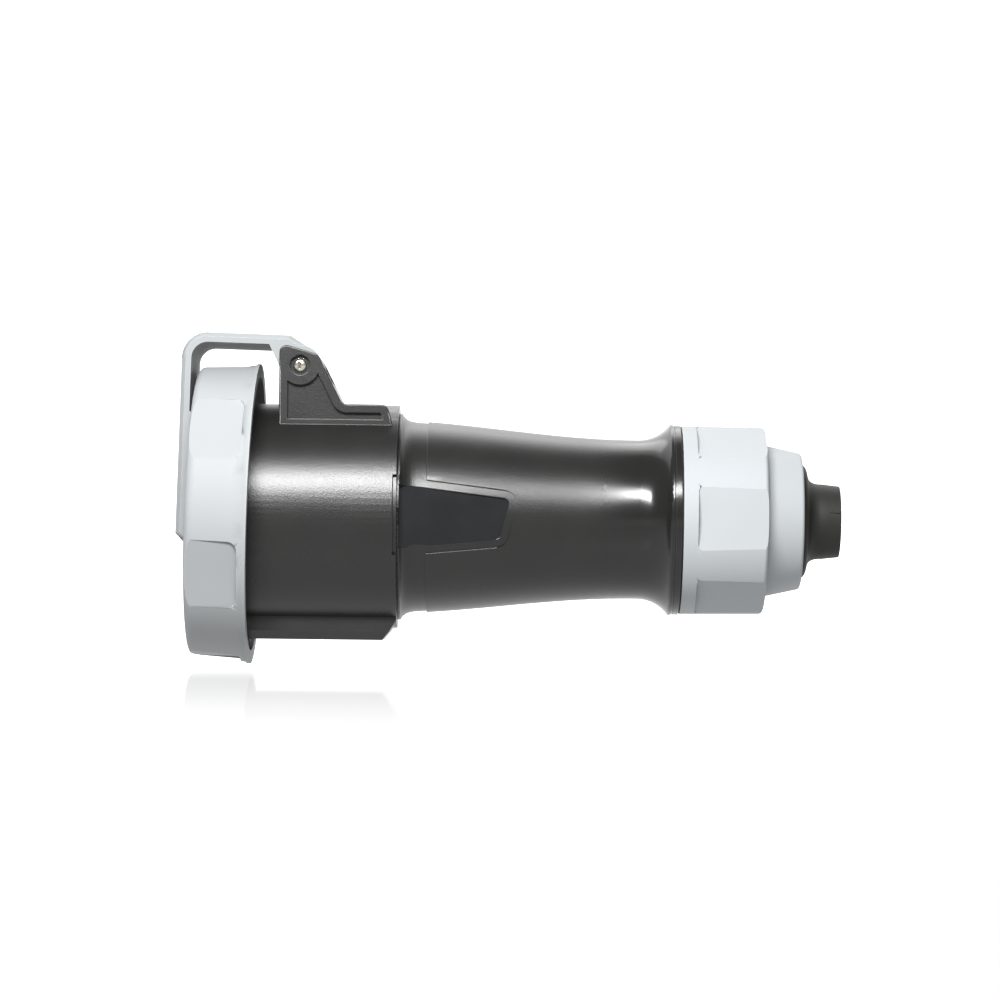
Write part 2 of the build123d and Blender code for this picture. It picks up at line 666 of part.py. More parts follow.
def foot_outline():
    """The thicker lower end of the strap, which stands on the lid's face."""
    back_x = LID_FACE_X + LAP
    inner_x = ARM_FACE_X + ARM_T
    top, end, cut = ARM_FOOT_TOP_Z, ARM_FOOT_END_Z, ARM_FOOT_CHAMFER
    return polygon([
        (ARM_FACE_X, end + cut),
        (ARM_FACE_X, top),
        (inner_x, top),
        (back_x, top - (back_x - inner_x)),
        (back_x, end),
        (ARM_FACE_X + cut, end),
    ])


def arm():
    """The strap that carries the lid from the hinge, with chamfered outer edges."""
    outline = strap_outline() + knuckle_outline() + foot_outline()
    body = side_plate(outline, -ARM_HALF, ARM_HALF)
    def on_outside(edge):
        mid = edge @ 0.5
        if abs(abs(mid.Y) - ARM_HALF) > 0.01:
            return False
        return mid.X < ARM_FACE_X + ARM_T - PIN_GAP or (mid.Z > ARM_TOP_Z - ARM_T and mid.X < HINGE_X)
    body = chamfer(body.edges().filter_by(on_outside), ARM_EDGE)
    clip_room_r = LID_DRUM_R - CLIP_GROOVE - RUN_GAP
    body -= tube(LID_FACE_X - ARM_STANDOFF, LID_FACE_X + PAST, RING_R_FRONT, clip_room_r)
    body -= cross_rod(HINGE_X, HINGE_Z, PIN_R + PIN_GAP, -ARM_HALF - PAST, ARM_HALF + PAST)
    body -= cross_rod(HINGE_X, HINGE_Z, KNUCKLE_R + KNUCKLE_SLOT_GAP, -KNUCKLE_SLOT_HALF, KNUCKLE_SLOT_HALF)
    return body - spring_hole()


def spring_hole():
    """The blind hole in the arm that the spring's upper leg ends in."""
    coil = spring_coil()
    length = SPRING_ARM_LEG + SPRING_LEG_PLAY
    hole = Cylinder(SPRING_WIRE_R + SPRING_LEG_PLAY, length, align=(Align.CENTER, Align.CENTER, Align.MIN))
    return Plane(origin=coil @ 1, z_dir=coil % 1) * hole


def lid():
    groove_x = FLANGE_BACK_X - GASKET_GROOVE
    body = spun([
        (LID_FACE_X, 0),
        (LID_FACE_X, LID_DRUM_R),
        (FLANGE_FRONT_X, LID_DRUM_R),
        (FLANGE_FRONT_X, LID_FLANGE_R),
        (FLANGE_BACK_X, LID_FLANGE_R),
        (FLANGE_BACK_X, GASKET_OUT_R),
        (groove_x, GASKET_OUT_R),
        (groove_x, GASKET_IN_R),
        (FLANGE_BACK_X, GASKET_IN_R),
        (FLANGE_BACK_X, LID_DISH_R),
        (LID_HOLLOW_X, LID_DISH_R),
        (LID_HOLLOW_X, 0),
    ])
    clip_x = LID_FACE_X + CLIP_SINK
    body -= tube(clip_x, clip_x + CLIP_T + SEAT_GAP, LID_DRUM_R + PAST, LID_DRUM_R - CLIP_GROOVE)
    rib_end_x = FLANGE_BACK_X - LID_RIB_BACK
    rib = bar(LID_HOLLOW_X - LAP, rib_end_x, LID_RIB_T / 2, -LID_DISH_R - LAP, LID_DISH_R + LAP)
    for n in range(LID_RIB_COUNT // 2):
        body += Rot(n * 360 / LID_RIB_COUNT, 0, 0) * rib
    body += rod(LID_HOLLOW_X - LAP, rib_end_x, LID_HUB_R)
    return drop_shut_lid(body + arm())


def lid_gasket():
    """A flat rubber ring in the flange's groove, just clear of the collar's rim when shut."""
    front = FLANGE_BACK_X - GASKET_GROOVE + SEAT_GAP
    return drop_shut_lid(tube(front, RIM_X - SEAL_GAP, GASKET_OUT_R - SEAT_GAP, GASKET_IN_R + SEAT_GAP))


def ring_clip():
    """An open spring clip in the lid's groove that keeps the ring on."""
    x0 = LID_FACE_X + CLIP_SINK + SEAT_GAP / 2
    inner = LID_DRUM_R - CLIP_GROOVE + SEAT_GAP
    clip = tube(x0, x0 + CLIP_T, inner + CLIP_W, inner)
    gap = sector(x0 - PAST, x0 + CLIP_T + PAST, inner + CLIP_W + PAST, inner - PAST, CLIP_OPEN_ANGLE / 2)
    return drop_shut_lid(clip - at_angle(gap, -90))


def ring_body():
    """The ring as it is turned, before the grip flats and lugs."""
    front, back = LID_FACE_X, RING_BACK_X
    hole = LID_DRUM_R + RUN_GAP
    lip_r = RING_R_BACK + RING_LIP
    body = spun([
        (front, hole),
        (front, RING_R_FRONT),
        (back - RING_LIP_W, RING_R_BACK),
        (back - RING_LIP_W / 2, lip_r),
        (back, lip_r),
        (back, RING_BORE_R),
        (front + RING_FRONT_T, RING_BORE_R),
        (front + RING_FRONT_T, hole),
    ])
    body = fillet(circles_at(body, front, RING_R_FRONT), RING_ROUND)
    clip_r = LID_DRUM_R - CLIP_GROOVE + SEAT_GAP + CLIP_W + RUN_GAP
    return body - tube(front - PAST, front + CLIP_SINK + CLIP_T + RUN_GAP, clip_r, hole - PAST)


def locking_ring():
    body = ring_body()
    half_w = RING_R_BACK * sin(radians(GRIP_HALF_ANGLE))
    start_x, end_x = LID_FACE_X - RING_LENGTH, RING_BACK_X - GRIP_STOP
    cutter = flat_cutter(start_x, end_x, half_w, RING_FLAT_R, GRIP_CORNER_R)
    for n in range(GRIP_COUNT):
        body -= at_angle(cutter, GRIP_FIRST_ANGLE + n * 360 / GRIP_COUNT)
    lug_x = LUG_END_X + LUG_PLAY
    for angle in (0, 180):
        lug = sector(lug_x, lug_x + RING_LUG_T, RING_BORE_R + LAP, RING_LUG_R, LUG_HALF_ANGLE)
        body += at_angle(lug, angle - RING_TURN)
    return drop_shut_lid(body)


def grip_edges(inward):
    """The rear housing's outer line from its flange to its flare, moved in by a distance."""
    flange_r = HOUSING_FLANGE_R - inward
    grip_r = GRIP_R - inward
    waist_r = WAIST_R - inward
    flare_r = FLARE_R - inward
    x1 = HOUSING_X + HOUSING_FLANGE_W
    neck = Bezier(
        (x1, flange_r),
        (x1 + NECK_DROP_X, grip_r + NECK_DROP_R),
        (x1 + HOUSING_NECK_IN / 2, grip_r + NECK_EASE_R),
        (NECK_IN_X, grip_r),
    )
    third = GRIP_TAPER_LENGTH / 3
    taper = Bezier(
        (NECK_IN_X, grip_r),
        (NECK_IN_X + third, grip_r - TAPER_FALL),
        (WAIST_X - third, waist_r),
        (WAIST_X, waist_r),
    )
    waist = Line((WAIST_X, waist_r), (FLARE_X, waist_r))
    end = (FLARE_X + FLARE_RUN, flare_r)
    half_run = FLARE_RUN / 2
    half_rise = FLARE_ARC_R - sqrt(FLARE_ARC_R ** 2 - half_run ** 2)
    flare = ThreePointArc((FLARE_X, waist_r), (FLARE_X + half_run, waist_r + half_rise), end)
    return [neck, taper, waist, flare], (HOUSING_X, flange_r), end


def grip_solid(inward):
    """Everything inside the grip's outer line moved in by a distance."""
    edges, start, end = grip_edges(inward)
    flange = Line(start, edges[0] @ 0)
    close = Polyline(end, (FLARE_END_X, end[1]), (FLARE_END_X, 0), (HOUSING_X, 0), start)
    return revolve(Plane.XZ * make_face([flange, *edges, close]), Axis.X)


def pocket_outline():
    """A side pocket in the side view: it narrows towards the back and runs under the collar."""
    back = HOUSING_X + POCKET_LENGTH
    front = HOUSING_X - POCKET_SLANT
    return rounded([
        (front, POCKET_FRONT_TOP),
        (back, POCKET_BACK_TOP),
        (back - POCKET_SLANT, POCKET_BACK_BOTTOM),
        (front, POCKET_FRONT_BOTTOM),
    ], POCKET_CORNER_R)


def pocket_cutter():
    """The near side's pocket, whose floor comes in towards the back as the grip does."""
    front, back = HOUSING_X - POCKET_SLANT, HOUSING_X + POCKET_LENGTH
    outside = -HOUSING_FLANGE_R - PAST
    plan = polygon([
        (front, outside),
        (front, -POCKET_DEPTH_FRONT),
        (back, -POCKET_DEPTH_BACK),
        (back, outside),
    ])
    room = extrude(Plane.XY.offset(-COLLAR_R) * plan, 2 * COLLAR_R)
    return room & side_plate(pocket_outline(), outside, 0)


def skin_cutter():
    """Room outside the lowered skin: a band behind the collar and a rim round each pocket."""
    room = rod(HOUSING_X - PAST, BAND_END_X, HOUSING_FLANGE_R + PAST)
    surround = offset(pocket_outline(), SURROUND_W)
    for side in (-1, 1):
        room += side_plate(surround, side * WAIST_R / 2, side * (HOUSING_FLANGE_R + PAST))
    return room - grip_solid(SKIN_STEP)


def housing_bore():
    """The hollow inside the rear housing: mouth, wiring chamber and the spigot's stepped bore."""
    chamber = grip_solid(HOUSING_WALL) & rod(NECK_IN_X, FLARE_X, CHAMBER_R)
    chamber += spun([
        (SOCKET_X - PAST, 0),
        (SOCKET_X - PAST, SOCKET_R - SOCKET_WALL),
        (SOCKET_X, SOCKET_R - SOCKET_WALL),
        (HOUSING_X, CHAMBER_R),
        (NECK_IN_X + LAP, CHAMBER_R),
        (NECK_IN_X + LAP, 0),
    ])
    chamber += rod(FLARE_X - LAP, COLLET_END_X, SPIGOT_BORE_R - COLLET_LEDGE)
    return chamber + rod(COLLET_BASE_X - SEAT_GAP, SPIGOT_END_X + PAST, SPIGOT_BORE_R)


def rear_housing():
    body = grip_solid(0) - skin_cutter()
    cutter = pocket_cutter()
    body -= cutter
    body -= mirror(cutter, Plane.XZ)
    body += rod(FLARE_END_X - LAP, LIP_END_X, FLARE_R - LIP_GROOVE)
    body += rod(LIP_END_X - LIP_W, LIP_END_X, LIP_R)
    body += rod(LIP_END_X - LAP, SPIGOT_END_X, SPIGOT_R)
    body += rod(SOCKET_X, HOUSING_X + LAP, SOCKET_R)
    groove_w = 2 * (SEAL_CORD_R + SEAT_GAP)
    body -= tube(SEAL_X, SEAL_X + groove_w, SOCKET_R + PAST, COLLAR_BORE_R - 2 * SEAL_CORD_R)
    return body - housing_bore()


def housing_seal():
    """The ring seal in the rear housing's groove, against the collar's bore."""
    x = SEAL_X + SEAL_CORD_R + SEAT_GAP
    r = COLLAR_BORE_R - SEAL_CORD_R - SEAT_GAP / 2
    cord = Pos(x, r) * Circle(SEAL_CORD_R - SEAT_GAP)
    return revolve(Plane.XZ * cord, Axis.X)


def nut_seal():
    """The flat rubber ring between the flare's lip and the nut."""
    return tube(LIP_END_X + SEAT_GAP, NUT_X - SEAT_GAP, FLARE_R - SEAL_SET_IN, NUT_THREAD_R)


def clamp_collet():
    """A ring with slotted fingers that the bush presses forward, which closes them on the cable."""
    inner = CABLE_R + COLLET_GRIP_GAP
    finger_r = SPIGOT_BORE_R - COLLET_LEDGE - SEAT_GAP
    body = spun([
        (COLLET_X, inner),
        (COLLET_END_X, inner),
        (COLLET_END_X, SPIGOT_BORE_R - SEAT_GAP),
        (COLLET_BASE_X, SPIGOT_BORE_R - SEAT_GAP),
        (COLLET_BASE_X, finger_r),
        (COLLET_X, inner + COLLET_WALL),
    ])
    slot = bar(COLLET_X - PAST, COLLET_BASE_X, COLLET_SLOT_W / 2, 0, SPIGOT_R)
    for n in range(COLLET_SLOTS):
        body -= Rot(n * 360 / COLLET_SLOTS, 0, 0) * slot
    return body


def gland_bush():
    """Rubber: a thick sleeve in the gland, a shoulder in the nut's mouth and a neck for the cable."""
    x0 = COLLET_END_X + SEAT_GAP
    shoulder_x = CONE_END_X - PAST
    brim = (shoulder_x, BUSH_SHOULDER_R)
    root = (NECK_X + NECK_EDGE, NECK_R_FRONT + NECK_FILLET_R)
    neck = (NECK_X + NECK_ROUND, NECK_R_FRONT)
    edges = [
        Polyline((x0, CABLE_R), (x0, BUSH_R), (BUSH_END_X, BUSH_R), (BUSH_END_X, BUSH_SHOULDER_R), brim),
        Bezier(brim, (NECK_X, BUSH_SHOULDER_R), (NECK_X, BUSH_SHOULDER_R - BUSH_ROUND), root),
        Bezier(root, (NECK_X + 2 * NECK_EDGE, NECK_R_FRONT + NECK_EDGE),
               (NECK_X + NECK_ROUND / 2, NECK_R_FRONT), neck),
        Polyline(neck, (NECK_END_X, NECK_R_BACK), (NECK_END_X, CABLE_R), (x0, CABLE_R)),
    ]
    return revolve(Plane.XZ * make_face(edges), Axis.X)


def slip_washer():
    return tube(WASHER_X, WASHER_END_X, BUSH_R, BUSH_SHOULDER_R + RUN_GAP)


def gland_nut():
    mouth_r = BUSH_SHOULDER_R + RUN_GAP
    body = spun([
        (NUT_X, NUT_THREAD_R),
        (NUT_X, NUT_R_FRONT),
        (NUT_END_X, NUT_R_BACK),
        (NUT_END_X + NUT_STEP, CONE_R_FRONT),
        (CONE_END_X, CONE_R_BACK),
        (CONE_END_X, mouth_r),
        (CONE_WALL_X, mouth_r),
        (CONE_WALL_X, BUSH_R + RUN_GAP),
        (NUT_END_X, CONE_R_FRONT - NUT_WALL),
        (SPIGOT_END_X + NUT_RELIEF, NUT_THREAD_R),
    ])
    body = fillet(circles_at(body, NUT_END_X, NUT_R_BACK), NUT_EDGE)
    body = fillet(circles_at(body, CONE_END_X, CONE_R_BACK), NUT_EDGE)
    half_w = NUT_R_FRONT * sin(radians(NUT_FLAT_HALF_ANGLE))
    cutter = flat_cutter(NUT_X + NUT_FRONT_LAND, CONE_END_X, half_w, NUT_FLAT_R, NUT_CORNER_R)
    for n in range(NUT_FLAT_COUNT):
        body -= at_angle(cutter, n * 360 / NUT_FLAT_COUNT)
    return body


def spring_coil():
    """The coil's centre line round the hinge pin: half turns that lean to and fro, then a quarter."""
    width = 2 * (KNUCKLE_SLOT_HALF - SPRING_SIDE_GAP)
    halves = 2 * SPRING_TURNS
    step = width / (halves + 0.5)
    side = SPRING_COIL_R
    arcs = []
    for n in range(halves):
        arcs.append(TangentArc((side, 0, n * step), (-side, 0, (n + 1) * step), tangent=(0, side, 0)))
        side = -side
    arcs.append(TangentArc((side, 0, halves * step), (0, side, width), tangent=(0, side, 0)))
    start = Plane(origin=(HINGE_X, width / 2, HINGE_Z), x_dir=(1, 0, 0), z_dir=(0, -1, 0))
    return start * Wire(arcs)


def lid_spring():
    """A torsion spring: one leg stands on the bracket's floor, the other is held by the arm."""
    coil = spring_coil()
    floor_leg = SWEEP_R - SEAT_GAP
    foot = coil @ 0 - (coil % 0) * floor_leg
    tip = coil @ 1 + (coil % 1) * SPRING_ARM_LEG
    wire = Wire([Line(foot, coil @ 0), *coil.edges(), Line(coil @ 1, tip)])
    section = Plane(origin=foot, z_dir=coil % 0) * Circle(SPRING_WIRE_R)
    return sweep(section, wire)


def save(name, shape):
    export_step(shape, f"parts/{name}.step")


os.makedirs("parts", exist_ok=True)
save("collar", collar())
save("contact_carrier", contact_carrier())
for name, bore, y, z in contact_places():
    save(name, contact(bore, y, z))
save("terminal_screws", terminal_screws())
save("carrier_screws", carrier_screws())
save("hinge_pin", hinge_pin())
save("hinge_screws", hinge_screws())
save("lid_spring", lid_spring())
save("lid", lid())
save("lid_gasket", lid_gasket())
save("ring_clip", ring_clip())
save("locking_ring", locking_ring())
save("rear_housing", rear_housing())
save("housing_seal", housing_seal())
save("nut_seal", nut_seal())
save("clamp_collet", clamp_collet())
save("gland_bush", gland_bush())
save("slip_washer", slip_washer())
save("gland_nut", gland_nut())
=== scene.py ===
# %% [markdown]
# This lesson dresses a cable-mounted power connector: a black collar with a hinged lid at its
# front, a blue-grey locking ring, a tapered black handle, and a gland nut with a rubber neck.
# The pieces already stand in their places at their real size, so the work here is the finish
# of each surface, the fine parts that are too small for the construction model, and the studio.

# %% Load the fixed frame
import json
from math import cos, pi, radians, sin

import bpy
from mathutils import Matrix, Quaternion, Vector


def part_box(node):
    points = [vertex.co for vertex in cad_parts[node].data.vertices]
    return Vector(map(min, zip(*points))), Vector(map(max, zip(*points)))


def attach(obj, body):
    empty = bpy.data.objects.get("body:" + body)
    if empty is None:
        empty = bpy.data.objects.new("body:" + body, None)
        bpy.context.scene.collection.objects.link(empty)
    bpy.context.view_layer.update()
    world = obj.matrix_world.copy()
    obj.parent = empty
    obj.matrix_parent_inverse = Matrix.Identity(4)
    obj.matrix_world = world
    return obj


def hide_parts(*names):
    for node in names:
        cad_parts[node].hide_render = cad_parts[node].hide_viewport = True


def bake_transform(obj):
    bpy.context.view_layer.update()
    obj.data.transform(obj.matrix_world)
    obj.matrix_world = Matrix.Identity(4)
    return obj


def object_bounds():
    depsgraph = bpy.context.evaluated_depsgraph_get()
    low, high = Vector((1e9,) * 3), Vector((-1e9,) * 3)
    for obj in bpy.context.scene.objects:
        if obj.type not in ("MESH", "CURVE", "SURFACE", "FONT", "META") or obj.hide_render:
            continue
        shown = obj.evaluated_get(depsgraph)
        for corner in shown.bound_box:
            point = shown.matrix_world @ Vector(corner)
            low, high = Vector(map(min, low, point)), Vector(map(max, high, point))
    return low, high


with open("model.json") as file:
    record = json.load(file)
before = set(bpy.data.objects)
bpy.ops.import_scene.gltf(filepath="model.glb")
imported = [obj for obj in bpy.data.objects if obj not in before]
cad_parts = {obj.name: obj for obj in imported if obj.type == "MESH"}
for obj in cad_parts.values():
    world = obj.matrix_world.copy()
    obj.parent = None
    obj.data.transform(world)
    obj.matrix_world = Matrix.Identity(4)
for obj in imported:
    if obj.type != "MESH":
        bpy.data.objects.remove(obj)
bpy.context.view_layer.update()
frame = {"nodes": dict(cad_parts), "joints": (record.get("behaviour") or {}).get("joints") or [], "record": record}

MM = 0.001
joints = {joint["name"]: joint for joint in frame["joints"]}
print("pieces in the frame:", len(frame["nodes"]))

# %% [markdown]
# Shader formulas are easier to read as formulas than as a web of nodes. The next cell wraps a
# socket in a small class, so that adding or multiplying two of them adds the Math node that
# does it. Every other node comes from one method that takes its type, settings and inputs.

# %% A small language for shader formulas
class Field:
    """A value that varies over a surface. Maths on it adds Math nodes."""

    def __init__(self, finish, socket):
        self.finish = finish
        self.socket = socket

    def maths(self, operation, first, second):
        return self.finish.node("ShaderNodeMath", {"operation": operation}, {0: first, 1: second})

    def __add__(self, other):
        return self.maths("ADD", self, other)

    def __radd__(self, other):
        return self.maths("ADD", other, self)

    def __sub__(self, other):
        return self.maths("SUBTRACT", self, other)

    def __rsub__(self, other):
        return self.maths("SUBTRACT", other, self)

    def __mul__(self, other):
        return self.maths("MULTIPLY", self, other)

    def __rmul__(self, other):
        return self.maths("MULTIPLY", other, self)


class Finish:
    """A material that is built up node by node."""

    def __init__(self, name):
        self.material = bpy.data.materials.new(name)
        self.material.use_nodes = True
        self.tree = self.material.node_tree
        self.surface = self.tree.nodes["Principled BSDF"]
        self.place = self.node("ShaderNodeTexCoord", out="Object")

    def node(self, kind, settings=None, inputs=None, out=0):
        made = self.tree.nodes.new(kind)
        for name, value in (settings or {}).items():
            setattr(made, name, value)
        for name, value in (inputs or {}).items():
            self.feed(made.inputs[name], value)
        return Field(self, made.outputs[out])

    def feed(self, socket, value):
        if isinstance(value, Field):
            self.tree.links.new(value.socket, socket)
        else:
            socket.default_value = value

    def set(self, **values):
        """Feeds the surface shader: Base_Color=..., Roughness=... and so on."""
        for name, value in values.items():
            self.feed(self.surface.inputs[name.replace("_", " ")], value)

    def noise(self, size, detail=2.0, roughness=0.5):
        """Noise from 0 to 1 whose blots are about size metres across."""
        inputs = {"Vector": self.place, "Scale": 1 / size, "Detail": detail, "Roughness": roughness}
        return self.node("ShaderNodeTexNoise", {"noise_dimensions": "3D"}, inputs)

    def along(self, axis):
        """How far a point is along X, Y or Z, in metres."""
        return self.node("ShaderNodeSeparateXYZ", inputs={"Vector": self.place}, out=axis)

    def ramp(self, value, start, end, low=0.0, high=1.0):
        """Goes smoothly from low to high while value goes from start to end."""
        inputs = {"Value": value, "From Min": start, "From Max": end, "To Min": low, "To Max": high}
        return self.node("ShaderNodeMapRange", {"interpolation_type": "SMOOTHSTEP"}, inputs)

    def mix(self, share, first, second):
        """A colour between first and second."""
        return self.node("ShaderNodeMix", {"data_type": "RGBA"}, {0: share, 6: first, 7: second}, out=2)

    def rounded_normal(self, radius):
        """The surface's direction with every hard edge rounded off."""
        return self.node("ShaderNodeBevel", {"samples": 6}, {"Radius": radius})

    def edge(self, radius, gain):
        """About 1 along hard edges and 0 on flat stretches."""
        true = self.node("ShaderNodeNewGeometry", out="Normal")
        pair = {0: self.rounded_normal(radius), 1: true}
        leaning = self.node("ShaderNodeVectorMath", {"operation": "DOT_PRODUCT"}, pair, out="Value")
        return self.ramp((1 - leaning) * gain, 0.0, 1.0)

    def relief(self, height, depth, normal, strength=1.0):
        """Turns a height field into a direction that the light sees."""
        inputs = {"Height": height, "Distance": depth, "Strength": strength, "Normal": normal}
        return self.node("ShaderNodeBump", inputs=inputs)


# %% [markdown]
# The collar and the handle are moulded in black plastic from a spark-eroded mould: its fine
# grain breaks the highlight into sparkles. Near the flare at the back of the handle the grain
# is worn to a polish, where hands slide over it. One function makes both, because they differ
# only in where the polish begins. The grain is noise that tilts the surface, and a slower
# noise moves the colour and the gloss a little, as every moulding has it.

# %% The black moulded plastic
GRAIN = 0.55 * MM
EDGE_ROUND = 0.35 * MM


def black_moulding(name, polish_from=None, polish_to=None):
    finish = Finish(name)
    grain = finish.noise(GRAIN, detail=3.0, roughness=0.65)
    cloud = finish.noise(22 * MM, detail=3.0)
    edge = finish.edge(0.5 * MM, 6.0)
    colour = finish.mix(cloud, (0.0055, 0.0055, 0.0053, 1), (0.0090, 0.0089, 0.0086, 1))
    # every hard edge is painted lighter: a painted highlight on its rounding
    colour = finish.mix(edge * 0.6, colour, (0.030, 0.030, 0.030, 1))
    rough = 0.26 + 0.04 * cloud + 0.06 * grain
    height = grain
    if polish_from is not None:
        polish = finish.ramp(finish.along("X"), polish_from, polish_to)
        rough = rough - 0.13 * polish
        height = grain * (1 - 0.85 * polish)
    normal = finish.relief(height, 0.11 * MM, finish.rounded_normal(EDGE_ROUND), 0.7)
    finish.set(Base_Color=colour, Roughness=rough, Specular_IOR_Level=0.36, Normal=normal)
    return finish.material


collar_black = black_moulding("collar_black")
handle_black = black_moulding("handle_black", 148 * MM, 178 * MM)

# %% [markdown]
# The panel at each side of the handle lies in a pocket. It isn't grained: it comes from a smooth
# part of the mould, so its reflections are soft. Its colour is tinted a little blue, a painted
# blue reflection.

# %% The smooth black of the pockets
def smooth_black(name):
    finish = Finish(name)
    cloud = finish.noise(15 * MM)
    fine = finish.noise(1.4 * MM)
    # the slight blue in this colour is a painted reflection
    colour = finish.mix(cloud, (0.004, 0.0042, 0.0047, 1), (0.007, 0.0073, 0.0080, 1))
    normal = finish.relief(fine, 0.05 * MM, finish.rounded_normal(EDGE_ROUND), 0.12)
    finish.set(Base_Color=colour, Roughness=0.24 + 0.06 * cloud, Specular_IOR_Level=0.3, Normal=normal)
    return finish.material


panel_black = smooth_black("panel_black")

# %% [markdown]
# The lid with its arm, the locking ring and the gland nut are a satin blue-grey plastic. Its
# skin is finer than the black one's, so its highlight is wide and quiet. Edges that hands and
# benches touch are a little smoother; every hard edge is also painted lighter, a painted highlight.

# %% The satin blue-grey plastic
def grey_moulding(name, dark, light):
    finish = Finish(name)
    fine = finish.noise(0.45 * MM, detail=2.0)
    cloud = finish.noise(30 * MM, detail=2.0)
    edge = finish.edge(0.6 * MM, 5.0)
    colour = finish.mix(cloud, (*dark, 1), (*light, 1))
    # every hard edge is painted lighter: a painted highlight
    colour = finish.mix(edge * 0.35, colour, (0.42, 0.45, 0.47, 1))
    rough = 0.58 + 0.06 * cloud - 0.08 * edge
    normal = finish.relief(fine, 0.05 * MM, finish.rounded_normal(EDGE_ROUND), 0.16)
    finish.set(Base_Color=colour, Roughness=rough, Specular_IOR_Level=0.2, Normal=normal)
    return finish.material


# The three copies of this one plastic differ only in how light they are, the nut's lightest and the lid's darkest:
# painted light and shade that set how bright each piece looks.
ring_grey = grey_moulding("ring_grey", (0.183, 0.192, 0.196), (0.197, 0.206, 0.210))
nut_grey = grey_moulding("nut_grey", (0.220, 0.231, 0.240), (0.235, 0.247, 0.256))
lid_grey = grey_moulding("lid_grey", (0.165, 0.173, 0.177), (0.178, 0.187, 0.191))

# %% [markdown]
# Rubber is duller than plastic: almost all of its look is a rough grey-black with dust in it.
# The same finish serves the neck, the gasket and the seals.

# %% Rubber
def rubber(name, base):
    finish = Finish(name)
    grain = finish.noise(0.8 * MM, detail=4.0, roughness=0.6)
    cloud = finish.noise(9 * MM, detail=3.0)
    dusty = tuple(1.9 * part for part in base)
    colour = finish.mix(cloud, (*base, 1), (*dusty, 1))
    normal = finish.relief(grain, 0.10 * MM, finish.rounded_normal(0.4 * MM), 0.35)
    finish.set(Base_Color=colour, Roughness=0.55 + 0.12 * cloud, Specular_IOR_Level=0.25, Normal=normal)
    return finish.material


bush_rubber = rubber("bush_rubber", (0.005, 0.005, 0.0045))
seal_rubber = rubber("seal_rubber", (0.012, 0.012, 0.012))

# %% [markdown]
# The metals: brass contacts with the fine rings of the lathe, bright plated screws, and drawn
# spring wire. A metal's colour is all in its reflection, so the variation goes into roughness.

# %% Metals
def turned_metal(name, colour, low, high, line=0.25):
    finish = Finish(name)
    lines = finish.noise(line * MM, detail=1.0)
    cloud = finish.noise(6 * MM, detail=2.0)
    darker = tuple(0.82 * part for part in colour)
    tint = finish.mix(cloud, (*colour, 1), (*darker, 1))
    rough = finish.ramp(cloud, 0.3, 0.7, low, high)
    normal = finish.relief(lines, 0.03 * MM, finish.rounded_normal(0.15 * MM), 0.25)
    finish.set(Base_Color=tint, Metallic=1.0, Roughness=rough, Normal=normal)
    return finish.material


brass = turned_metal("contact_brass", (0.80, 0.62, 0.32), 0.20, 0.34)
plated_steel = turned_metal("plated_steel", (0.74, 0.70, 0.62), 0.16, 0.30)
spring_wire = turned_metal("spring_wire", (0.50, 0.50, 0.50), 0.30, 0.42, line=0.6)

# %% [markdown]
# Inner plastics: the contact carrier is a dark moulding, and the clamp and the slip washer are
# natural, undyed plastic.

# %% The inner plastics
def inner_plastic(name, dark, light):
    finish = Finish(name)
    fine = finish.noise(0.6 * MM)
    cloud = finish.noise(14 * MM)
    colour = finish.mix(cloud, (*dark, 1), (*light, 1))
    normal = finish.relief(fine, 0.05 * MM, finish.rounded_normal(0.3 * MM), 0.2)
    finish.set(Base_Color=colour, Roughness=0.42 + 0.08 * cloud, Normal=normal)
    return finish.material


carrier_dark = inner_plastic("carrier_dark", (0.035, 0.036, 0.038), (0.050, 0.051, 0.054))
natural_plastic = inner_plastic("natural_plastic", (0.62, 0.60, 0.54), (0.70, 0.68, 0.62))

# %% [markdown]
# Each piece of the construction model is a bag of loose triangles. A copy of it is merged into
# one skin and shaded smoothly, and the copy then stands in the piece's place. Long thin triangles
# would leave streaks in the highlights of the large pieces. So their flat areas get their own
# direction, and what is turned about an axis gets the direction of the true round form. Hard
# edges are rounded in the materials, where a Bevel node softens the direction near each edge.

# %% Dress the pieces of the construction model
BODY_OF = {node: body for body, nodes in frame["record"]["behaviour"]["bodies"].items() for node in nodes}
dressed = {}


def only(piece):
    """Selects one object alone and makes it the active one."""
    bpy.ops.object.select_all(action="DESELECT")
    piece.select_set(True)
    bpy.context.view_layer.objects.active = piece


TURNED_COS = cos(radians(4.5))  # how far a turned face may look away from the radius
FLAT_RISE = 0.012 * MM  # how far its corners may stand off the turned form
FLAT_OFFSET = 0.02 * MM  # faces this close to one plane count as one flat area
FLAT_AREA = 20 * MM * MM  # the least flat area that gets its own direction
MAIN_AXIS = ((0, 0, 0), (1, 0, 0))
LID_AXIS = (joints["ring_turn"]["pos_m"], joints["ring_turn"]["axis"])


def merged_copy(node):
    source = frame["nodes"][node]
    piece = bpy.data.objects.new(node + "_skin", source.data.copy())
    bpy.context.scene.collection.objects.link(piece)
    only(piece)
    bpy.ops.object.mode_set(mode="EDIT")
    bpy.ops.mesh.select_all(action="SELECT")
    bpy.ops.mesh.remove_doubles(threshold=0.002 * MM)
    bpy.ops.object.mode_set(mode="OBJECT")
    return piece


def smooth(piece, angle=30):
    """Shades a piece smoothly; its large faces set the direction where they meet a rounding."""
    only(piece)
    bpy.ops.object.shade_smooth_by_angle(angle=radians(angle))
    weighting = piece.modifiers.new("weighting", "WEIGHTED_NORMAL")
    weighting.weight = 100
    weighting.keep_sharp = True
    bpy.ops.object.modifier_apply(modifier=weighting.name)


